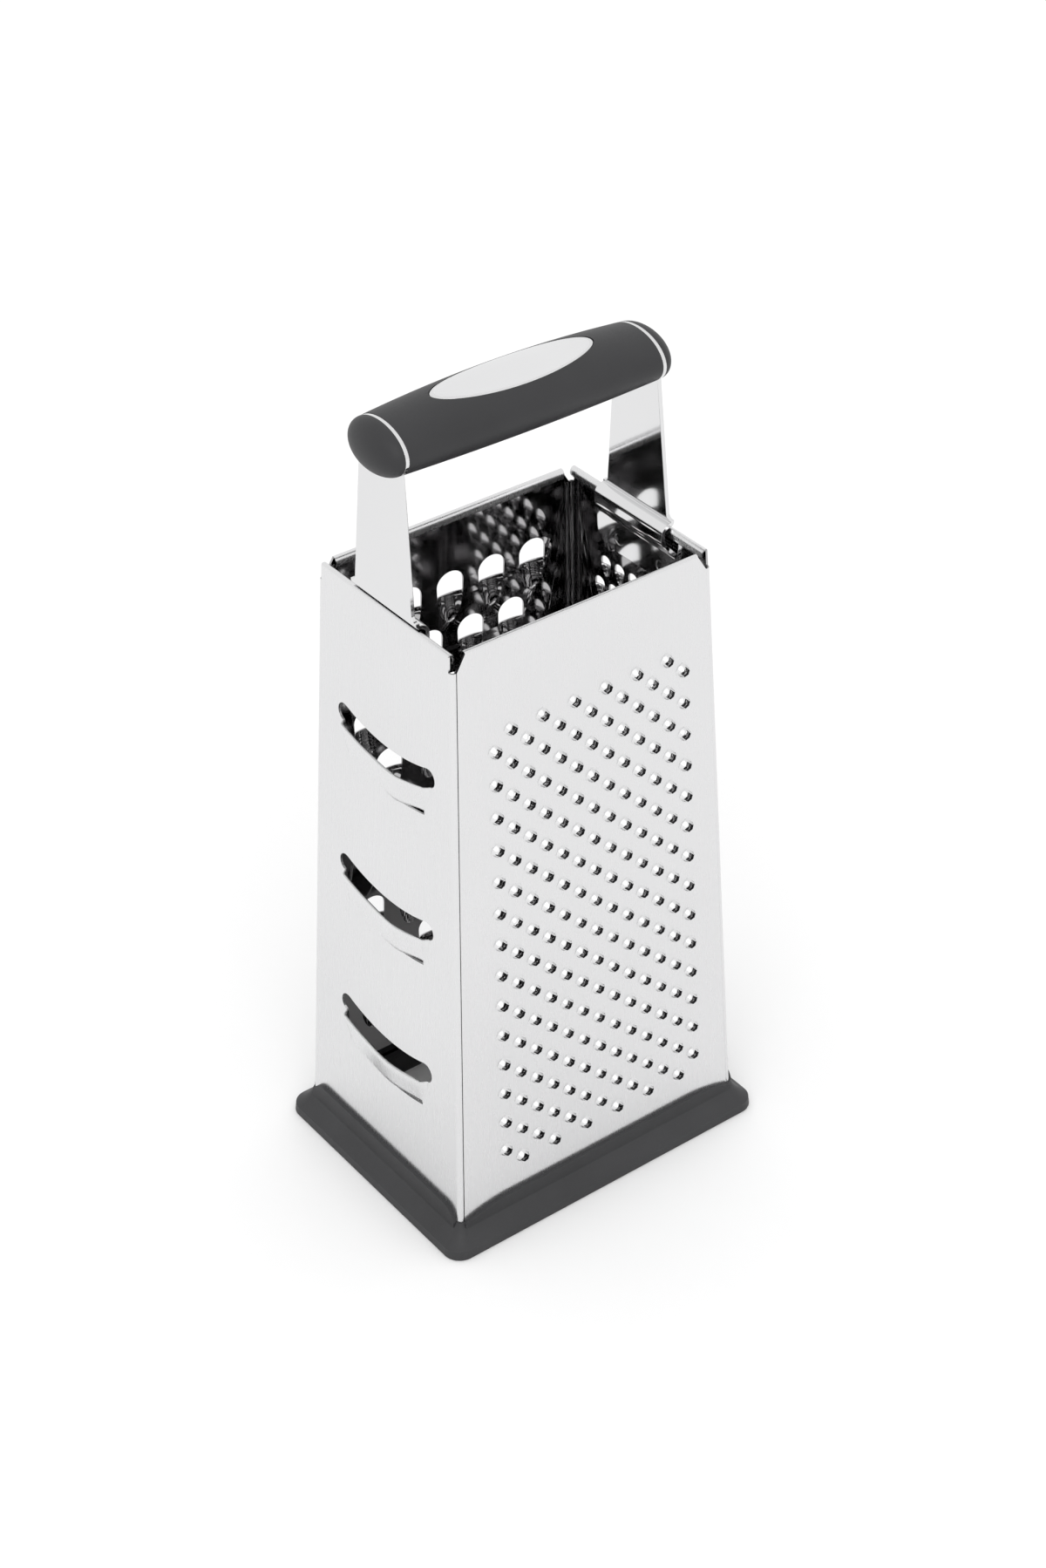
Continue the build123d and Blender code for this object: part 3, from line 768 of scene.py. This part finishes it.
def fold_hem(bm, wall):
    """Roll the rim over to the inside and down again."""
    top, fold = wall.rise(shell().rim_height), wall.fold()
    edges = [
        edge
        for edge in bm.edges
        if edge.is_boundary and all(abs(corner.co.y - fold) < ON_FLAT for corner in edge.verts)
    ]
    for depth, drop in HEM_PROFILE:
        edges = pull(bm, edges, lambda place: Vector((place.x, top - drop, -depth)))


def turn_corners(bm, wall):
    """Bend a narrow wall's edges round the corners and lap them behind the wide walls."""
    size = shell()
    side_length = wall.rise(size.rim_height - size.notch_depth - size.bottom)
    turns = [radians(90 * step / BEND_STEPS) for step in range(1, BEND_STEPS + 1)]
    bend = [(size.corner * (1 - sin(turn)), size.corner * (1 - cos(turn))) for turn in turns]
    lap_depth = size.sheet + LAP_ROOM
    steps = bend + [(0, size.seam), (lap_depth, size.seam + size.sheet), (lap_depth, FLANGE_REACH)]
    for end in (-1, 1):
        edges = []
        for edge in bm.edges:
            low, high = (corner.co for corner in edge.verts)
            upright = abs(high.y - low.y) > side_length * LONG_EDGE
            if edge.is_boundary and upright and (low.x + high.x) * end > 0:
                edges.append(edge)
        for inset, depth in steps:

            def beside(place):
                across = wall.half(place.y * cos(wall.lean)) - inset
                return Vector((end * across, place.y, -depth))

            edges = pull(bm, edges, beside)


def thin_mouths(bm):
    """Weigh the corners so that the sheet is thinner towards the top of a mouth."""
    weights = bm.verts.layers.deform.verify()
    for corner in bm.verts:
        height = min(1, max(0, corner.co.z / MOUTH_HEIGHT))
        corner[weights][0] = 1 - MOUTH_THINNING * height


def thicken(piece, mouths):
    """Give the sheet its thickness, and shading that its thin edges don't tilt."""
    sheet = piece.modifiers.new("sheet", "SOLIDIFY")
    sheet.thickness = shell().sheet
    sheet.offset = -1
    sheet.use_even_offset = True
    sheet.material_offset = 1
    sheet.material_offset_rim = 2
    if mouths:
        piece.vertex_groups.new(name="full_sheet")
        sheet.vertex_group = "full_sheet"
        sheet.thickness_vertex_group = THINNEST
    shading = piece.modifiers.new("even_shading", "WEIGHTED_NORMAL")
    shading.mode = "FACE_AREA"
    shading.keep_sharp = True


def finish_wall(bm, wall, name, node, looks, mouths=False, cell=whole_flat):
    """Close the flat, fold the edges, give the sheet its thickness and stand it on its node."""
    bmesh.ops.remove_doubles(bm, verts=bm.verts, dist=MERGE)
    fill_flat(bm, cell)
    fold_hem(bm, wall)
    if not wall.wide:
        turn_corners(bm, wall)
    bmesh.ops.recalc_face_normals(bm, faces=bm.faces)
    largest = max(bm.faces, key=lambda face: face.calc_area())
    if largest.normal.z < 0:
        bmesh.ops.reverse_faces(bm, faces=bm.faces)
    if mouths:
        thin_mouths(bm)
    for face in bm.faces:
        face.smooth = not on_flat(face)
    bmesh.ops.transform(bm, matrix=wall.stand(), verts=bm.verts)
    piece = add_piece(bm, name)
    for look in looks:
        piece.data.materials.append(finish(look))
    thicken(piece, mouths)
    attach(piece, "root")
    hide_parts(node)


# The round foot of a point's dent, then rings of four corners and four sides. Each row is the reach
# of the corners and of the sides, and the height of both. The punch tears the sheet at the corners,
# so the sides stand up as four petals.
DENT_REACH = 2.4 * MM
POINT_RINGS = (
    (2.25 * MM, 2.0 * MM, -0.12 * MM, -0.12 * MM),
    (2.1 * MM, 1.65 * MM, 0.02 * MM, 0.05 * MM),
    (1.85 * MM, 1.35 * MM, 0.5 * MM, 0.62 * MM),
    (1.6 * MM, 1.12 * MM, 0.78 * MM, 1.15 * MM),
)
# How far a point of full height leans, to the right and towards the foot
POINT_LEAN = Vector((0.22 * MM, -0.22 * MM, 0))
# The sheet's outside, inside and rim, then the same for the torn band round a mouth. The sheet's rim and
# the band's inside and rim are near-black painted shade.
RASP_LOOKS = ("rolled_sheet", "shaded_sheet", "painted_shade_steel", "rolled_sheet", "painted_shade_steel", "painted_shade_steel")
TORN_SLOT = 3


def rasp_point():
    """One point: a shallow dent round a four-sided peak, torn open at its top."""
    bm = bmesh.new()
    bmesh.ops.create_circle(bm, segments=8, radius=DENT_REACH)
    edges = list(bm.edges)
    for corner_reach, side_reach, corner_height, side_height in POINT_RINGS:

        def place(spot):
            if min(abs(spot.x), abs(spot.y)) < MERGE:
                return spoke(spot, corner_reach, corner_height)
            return spoke(spot, side_reach, side_height)

        edges = pull(bm, edges, place)
    for edge in edges:
        # Painted shade: this band's inside and its torn edge get the near-black steel
        edge.link_faces[0].material_index = TORN_SLOT
    for corner in bm.verts:
        corner.co += POINT_LEAN * (max(0, corner.co.z) / MOUTH_HEIGHT)
    return mesh_of(bm, "rasp_point")


class RaspGrid:
    """Columns that spread towards the foot, every second one half a row higher and one point longer."""

    def __init__(self, wall, size):
        self.wall = wall
        self.size = size
        self.middle = size.top - size.row_pitch * (size.rows - 1) / 2

    def spread(self, z):
        """How much wider the columns stand at a height."""
        return 1 + self.size.fan * (self.middle - z) / shell().rim_height

    def across(self, column, z):
        """Place of a column at a height."""
        from_middle = column - (self.size.columns - 1) / 2
        return (self.size.aside + from_middle * self.size.pitch) * self.spread(z)

    def count(self, column):
        """Points in a column."""
        return self.size.rows + column % 2

    def highest(self, column):
        """Height of a column's highest point."""
        return self.size.top + column % 2 * self.size.row_pitch / 2

    def cell(self, place):
        """Column and row of the cell that a place lies in, or nothing outside the cells."""
        size = self.size
        z = place.y * cos(self.wall.lean)
        column = floor((place.x / self.spread(z) - size.aside) / size.pitch + size.columns / 2)
        row = floor((self.highest(column) - z) / size.row_pitch + 1 / 2)
        inside = 0 <= column < size.columns and 0 <= row < self.count(column)
        return (column, row) if inside else None

    def mark_cells(self, bm):
        """One cell round every point, with corners and edges shared between neighbours."""
        edges = set()
        for column in range(self.size.columns):
            for row in range(self.count(column)):
                steps = [2 * row + 1 - column % 2 + i for i in range(3)]
                ring = [(column, step) for step in steps]
                ring += [(column + 1, step) for step in reversed(steps)]
                edges |= {tuple(sorted(pair)) for pair in zip(ring, ring[1:] + ring[:1])}
        corners = {}
        for line, step in sorted({corner for edge in edges for corner in edge}):
            z = self.size.top + self.size.row_pitch * (1 - step / 2)
            corners[line, step] = bm.verts.new((self.across(line - 1 / 2, z), self.wall.rise(z), 0))
        for low, high in sorted(edges):
            bm.edges.new((corners[low], corners[high]))

    def places(self):
        """Places of all the points, column by column from the top."""
        found = []
        for column in range(self.size.columns):
            for row in range(self.count(column)):
                z = self.highest(column) - row * self.size.row_pitch
                found.append((self.across(column, z), self.wall.rise(z)))
        return found


class GRATER_OT_fine_rasp_wall(bpy.types.Operator):
    """Front wide wall with pierced rasp points"""

    bl_idname = "grater.fine_rasp_wall"
    bl_label = "Fine rasp wall"

    def execute(self, context):
        size = context.scene.grater_rasp
        wall = Wall(-1, wide=True)
        grid = RaspGrid(wall, size)
        bm = start_wall(wall)
        grid.mark_cells(bm)
        punch(bm, rasp_point(), grid.places(), spread=size.unevenness, turn=size.twist)
        names = "fine_rasp_sheet", "fine_rasp_wall"
        finish_wall(bm, wall, *names, RASP_LOOKS, mouths=True, cell=grid.cell)
        return {"FINISHED"}


# A scoop's form: how its lift fades along it and to its sides, its edge's dip, and its window's arch
FADE_ALONG = 1.8
FADE_ASIDE = 2.4
EDGE_DIP = 0.58
WINDOW_ARCH = 0.9
LEAST_ARCH_STEPS = 8
# The shred sheets' insides and rims take the darker painted-shade steel
SHRED_LOOKS = ("rolled_sheet", "shaded_sheet", "shaded_sheet")


def scoop(size, across, down):
    """One pressed scoop below the oval window that its raised edge cuts into."""
    bm = bmesh.new()
    bmesh.ops.create_grid(bm, x_segments=across, y_segments=down, size=1)
    half = size.width / 2
    for corner in bm.verts:
        share = sin(pi / 4 * (1 - corner.co.y))
        side = sin(pi / 2 * corner.co.x)
        lift = (1 - share**FADE_ALONG) * (1 - abs(side) ** FADE_ASIDE)
        dip = EDGE_DIP * size.lift * (1 - share) * (1 - side**2)
        reach = half * sqrt(max(0, 1 - share**2))
        corner.co = Vector((reach * side, -size.length * share - dip, size.lift * lift))
    steps = max(LEAST_ARCH_STEPS, across)
    rise = half * WINDOW_ARCH
    turns = [pi * step / steps for step in range(steps + 1)]
    arch = [(half * cos(turn), size.window - rise + rise * sin(turn)) for turn in turns]
    chain(bm, [(half, 0), *arch, (-half, 0)])
    bmesh.ops.remove_doubles(bm, verts=bm.verts, dist=MERGE)
    return mesh_of(bm, "scoop")


def staggered(wall, size):
    """Places of windows in rows of two counts by turns, each row centred."""
    places = []
    for row in range(size.rows):
        columns = size.second_row if row % 2 else size.first_row
        height = wall.rise(size.top - row * size.row_pitch)
        places += [((column - (columns - 1) / 2) * size.pitch, height) for column in range(columns)]
    return places


class GRATER_OT_coarse_shred_wall(bpy.types.Operator):
    """Back wide wall with large scoops and oval windows"""

    bl_idname = "grater.coarse_shred_wall"
    bl_label = "Coarse shred wall"

    def execute(self, context):
        size = context.scene.grater_coarse
        wall = Wall(1, wide=True)
        bm = start_wall(wall)
        punch(bm, scoop(size, across=14, down=8), staggered(wall, size))
        finish_wall(bm, wall, "coarse_shred_sheet", "coarse_shred_wall", SHRED_LOOKS)
        return {"FINISHED"}


class GRATER_OT_medium_shred_wall(bpy.types.Operator):
    """Right narrow wall with small scoops, and the marks of the strap's welds"""

    bl_idname = "grater.medium_shred_wall"
    bl_label = "Medium shred wall"

    def execute(self, context):
        size = context.scene.grater_medium
        wall = Wall(1, wide=False)
        bm = start_wall(wall)
        punch(bm, scoop(size, across=8, down=5), staggered(wall, size))
        punch(bm, weld_dent(), weld_places(wall))
        finish_wall(bm, wall, "medium_shred_sheet", "medium_shred_wall", SHRED_LOOKS)
        return {"FINISHED"}


# A spot weld's mark: its reach, its inner rings' reaches and heights, and its place on the wall
WELD_REACH = 1.7 * MM
WELD_RINGS = ((1.35 * MM, -0.11 * MM), (0.9 * MM, -0.12 * MM), (0.5 * MM, -0.06 * MM))
WELD_STEPS = 20
WELD_APART = 17.4 * MM
WELD_ASIDE = 1.5 * MM
WELD_HEIGHT = 175.5 * MM


def weld_dent():
    """The shallow round mark of a spot weld."""
    bm = bmesh.new()
    bmesh.ops.create_circle(bm, segments=WELD_STEPS, radius=WELD_REACH)
    edges = list(bm.edges)
    for reach, height in WELD_RINGS:
        edges = pull(bm, edges, lambda spot: spoke(spot, reach, height))
    bmesh.ops.contextual_create(bm, geom=edges)
    return mesh_of(bm, "weld_dent")


def weld_places(wall):
    """The two weld marks near the rim of a narrow wall, both a little towards the grater's front."""
    return [(end * WELD_APART / 2 - wall.side * WELD_ASIDE, wall.rise(WELD_HEIGHT)) for end in (-1, 1)]


# The blade's rows, as shares of its depth. The slit lies between the last two.
BLADE_ROWS = (0, 0.3, 0.6, 0.82, 0.985, 1.0)
BLADE_COLUMNS = 40
# The slit: its width as a share of the blade's depth, where along the blade it is widest and ends,
# and how fast it closes there
SLIT_WIDTH = 0.13
SLIT_WIDEST = 0.88
SLIT_END = 0.985
SLIT_CLOSING = 0.05
# Shares of the blade's half length over which the lifted edge comes down at its right and left ends
RIGHT_RAMP = 0.08
LEFT_RAMP = 0.07
# The step at the crease: where it starts, how long it rises, its ramp at the right end, and how much
# it comes down where the slit gapes
STEP_START = -0.4
STEP_RISE = 0.8
STEP_RAMP = 0.06
STEP_DROP = 1.4
# Steps of a slot's round end and of its upper edge
END_STEPS = 8
UPPER_STEPS = 30


def smooth_step(share):
    """A soft ramp from nought to one."""
    share = min(1, max(0, share))
    return share * share * (3 - 2 * share)


def slot_line(radius, opening, reach):
    """The slot's right end, upper edge and left end, about the middle of the blade's curve."""
    end_radius = opening / 2
    right_end = []
    for step in range(END_STEPS + 1):
        turn = pi * step / END_STEPS
        far, along = radius - end_radius + end_radius * cos(turn), end_radius * sin(turn)
        right_end.append((far * sin(reach) + along * cos(reach), along * sin(reach) - far * cos(reach)))
    inner = radius - opening
    turns = [reach * (1 - 2 * step / UPPER_STEPS) for step in range(1, UPPER_STEPS)]
    upper = [(inner * sin(turn), -inner * cos(turn)) for turn in turns]
    return right_end + upper + [(-x, y) for x, y in reversed(right_end)]


def cut_slit(bm, slit):
    """Open the last row of a blade's faces from the slit's start to its end."""
    last_row = 2 / (len(BLADE_ROWS) - 1) - 1
    cut = []
    for face in bm.faces:
        middle = face.calc_center_median()
        if middle.y < last_row and slit < sin(pi / 2 * middle.x) < SLIT_END:
            cut.append(face)
    bmesh.ops.delete(bm, geom=cut, context="FACES_ONLY")


def slicer_slot(size, middle_edge, opening, lift, slit):
    """One curved slot, the blade raised below it, and the slit that frees the blade's right end."""
    radius = size.curve_radius
    reach = asin((size.half_length - opening / 2) / radius)
    crease_reach = asin(size.crease_half / (radius + size.blade_depth))
    last = len(BLADE_ROWS) - 1
    bm = bmesh.new()
    bmesh.ops.create_grid(bm, x_segments=BLADE_COLUMNS, y_segments=last, size=1)
    cut_slit(bm, slit)
    for corner in bm.verts:
        across = sin(pi / 2 * corner.co.x)
        row = round((1 - corner.co.y) / 2 * last)
        gape = smooth_step((across - slit) / (SLIT_WIDEST - slit))
        gape *= smooth_step((1 - across) / SLIT_CLOSING)
        down = BLADE_ROWS[row] - (SLIT_WIDTH * gape if row == last - 1 else 0)
        turn = across * (reach * (1 - down) + crease_reach * down)
        far = radius + size.blade_depth * down
        ends = smooth_step((1 - abs(across)) / (RIGHT_RAMP if across > 0 else LEFT_RAMP))
        step = size.step * (1 - STEP_DROP * gape)
        step *= smooth_step((across - STEP_START) / STEP_RISE) * smooth_step((1 - across) / STEP_RAMP)
        height = 0 if row == last else ends * lift * (1 - down) + step
        corner.co = Vector((far * sin(turn), middle_edge + radius - far * cos(turn), height))
    chain(bm, [(x, y + middle_edge + radius) for x, y in slot_line(radius, opening, reach)])
    bmesh.ops.remove_doubles(bm, verts=bm.verts, dist=MERGE)
    return mesh_of(bm, "slicer_slot")


class GRATER_OT_slicer_wall(bpy.types.Operator):
    """Left narrow wall with three curved slots and raised blades"""

    bl_idname = "grater.slicer_wall"
    bl_label = "Slicer wall"

    def execute(self, context):
        size = context.scene.grater_slicer
        wall = Wall(-1, wide=False)
        bm = start_wall(wall)
        for height, opening, lift, slit in zip(size.heights, size.openings, size.lifts, size.slits):
            form = slicer_slot(size, wall.rise(height), opening, lift, slit)
            punch(bm, form, [(size.aside, 0)])
        punch(bm, weld_dent(), weld_places(wall))
        looks = ("rolled_sheet", "shaded_sheet", "ground_edge")
        finish_wall(bm, wall, "slicer_sheet", "slicer_wall", looks)
        return {"FINISHED"}


# The inlay's section from its rim inward: share of its reach, and height over the grip
INLAY_SECTION = (
    (1.0, -0.8 * MM),
    (1.0, -0.3 * MM),
    (0.992, -0.12 * MM),
    (0.975, -0.02 * MM),
    (0.95, 0.0),
    (0.945, -0.05 * MM),
    (0.93, -0.06 * MM),
    (0.8, -0.03 * MM),
    (0.6, -0.02 * MM),
    (0.4, -0.01 * MM),
    (0.2, 0.0),
)
INLAY_STEPS = 96
# The polished rim reaches in to this share
BRIGHT_RIM = 0.945
# The grip's upper face: half its length, its half width and depth at an end and what they gain at
# the middle, and the height that its depth is measured from, with its own gain
GRIP_HALF_LENGTH = 40.3 * MM
GRIP_HALF_WIDTH = 11.2 * MM
GRIP_SWELL = 1.05 * MM
GRIP_DEPTH = 7.1 * MM
GRIP_CROWN = 1.45 * MM
GRIP_HEIGHT = 234.9 * MM
GRIP_ARCH = 0.7 * MM


def grip_top(x, y):
    """Height of the grip's upper face."""
    full = 1 - (x / GRIP_HALF_LENGTH) ** 2
    half_width = GRIP_HALF_WIDTH + GRIP_SWELL * full
    depth = GRIP_DEPTH + GRIP_CROWN * full
    return GRIP_HEIGHT + GRIP_ARCH * full + depth * sqrt(1 - (y / half_width) ** 2)


class GRATER_OT_inlay(bpy.types.Operator):
    """Oval steel plate let into the grip's top, bare, with a bright rounded rim"""

    bl_idname = "grater.inlay"
    bl_label = "Grip inlay"

    def execute(self, context):
        size = context.scene.grater_inlay
        bm = bmesh.new()
        rim = bmesh.ops.create_circle(bm, segments=INLAY_STEPS, radius=1)["verts"]
        edges = list(bm.edges)
        for share, height in INLAY_SECTION[1:]:
            before = set(bm.faces)
            edges = pull(bm, edges, lambda spot: spoke(spot, share, height))
            for face in set(bm.faces) - before:
                face.material_index = 1 if share >= BRIGHT_RIM else 0
        for corner in rim:
            corner.co.z = INLAY_SECTION[0][1]
        bmesh.ops.contextual_create(bm, geom=edges)
        bmesh.ops.contextual_create(bm, geom=[edge for edge in bm.edges if edge.is_boundary])
        for corner in bm.verts:
            x, y = corner.co.x * size.length / 2, corner.co.y * size.width / 2
            corner.co = Vector((x, y, grip_top(x, y) + corner.co.z))
        bmesh.ops.recalc_face_normals(bm, faces=bm.faces)
        for face in bm.faces:
            face.smooth = True
        piece = add_piece(bm, "inlay_oval")
        piece.data.materials.append(finish("inlay_satin"))
        piece.data.materials.append(finish("strap_polish"))
        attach(piece, "root")
        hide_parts("inlay_plate")
        return {"FINISHED"}


class GRATER_PT_panel(bpy.types.Panel):
    """Builds the grater's looks piece by piece"""

    bl_label = "Grater"
    bl_idname = "GRATER_PT_panel"
    bl_space_type = "VIEW_3D"
    bl_region_type = "UI"
    bl_category = "Grater"

    def draw(self, context):
        for operator in OPERATORS:
            self.layout.operator(operator.bl_idname)


SETTINGS = {
    "grater_shell": ShellSizes,
    "grater_rasp": RaspSizes,
    "grater_coarse": CoarseSizes,
    "grater_medium": MediumSizes,
    "grater_slicer": SlicerSizes,
    "grater_inlay": InlaySizes,
    "grater_colours": FinishColours,
}
OPERATORS = (
    GRATER_OT_stage,
    GRATER_OT_finish_nodes,
    GRATER_OT_fine_rasp_wall,
    GRATER_OT_coarse_shred_wall,
    GRATER_OT_medium_shred_wall,
    GRATER_OT_slicer_wall,
    GRATER_OT_inlay,
)
CLASSES = (*SETTINGS.values(), *OPERATORS, GRATER_PT_panel)


def register():
    """Register the classes and hang the settings on the scene."""
    for cls in CLASSES:
        bpy.utils.register_class(cls)
    for name, group in SETTINGS.items():
        setattr(bpy.types.Scene, name, bpy.props.PointerProperty(type=group))


def unregister():
    """Take the settings and the classes away again."""
    for name in SETTINGS:
        delattr(bpy.types.Scene, name)
    for cls in reversed(CLASSES):
        bpy.utils.unregister_class(cls)


def main():
    """Build everything in order."""
    register()
    bpy.ops.grater.stage()
    bpy.ops.grater.finish_nodes()
    bpy.ops.grater.fine_rasp_wall()
    bpy.ops.grater.coarse_shred_wall()
    bpy.ops.grater.medium_shred_wall()
    bpy.ops.grater.slicer_wall()
    bpy.ops.grater.inlay()


if __name__ == "__main__":
    main()
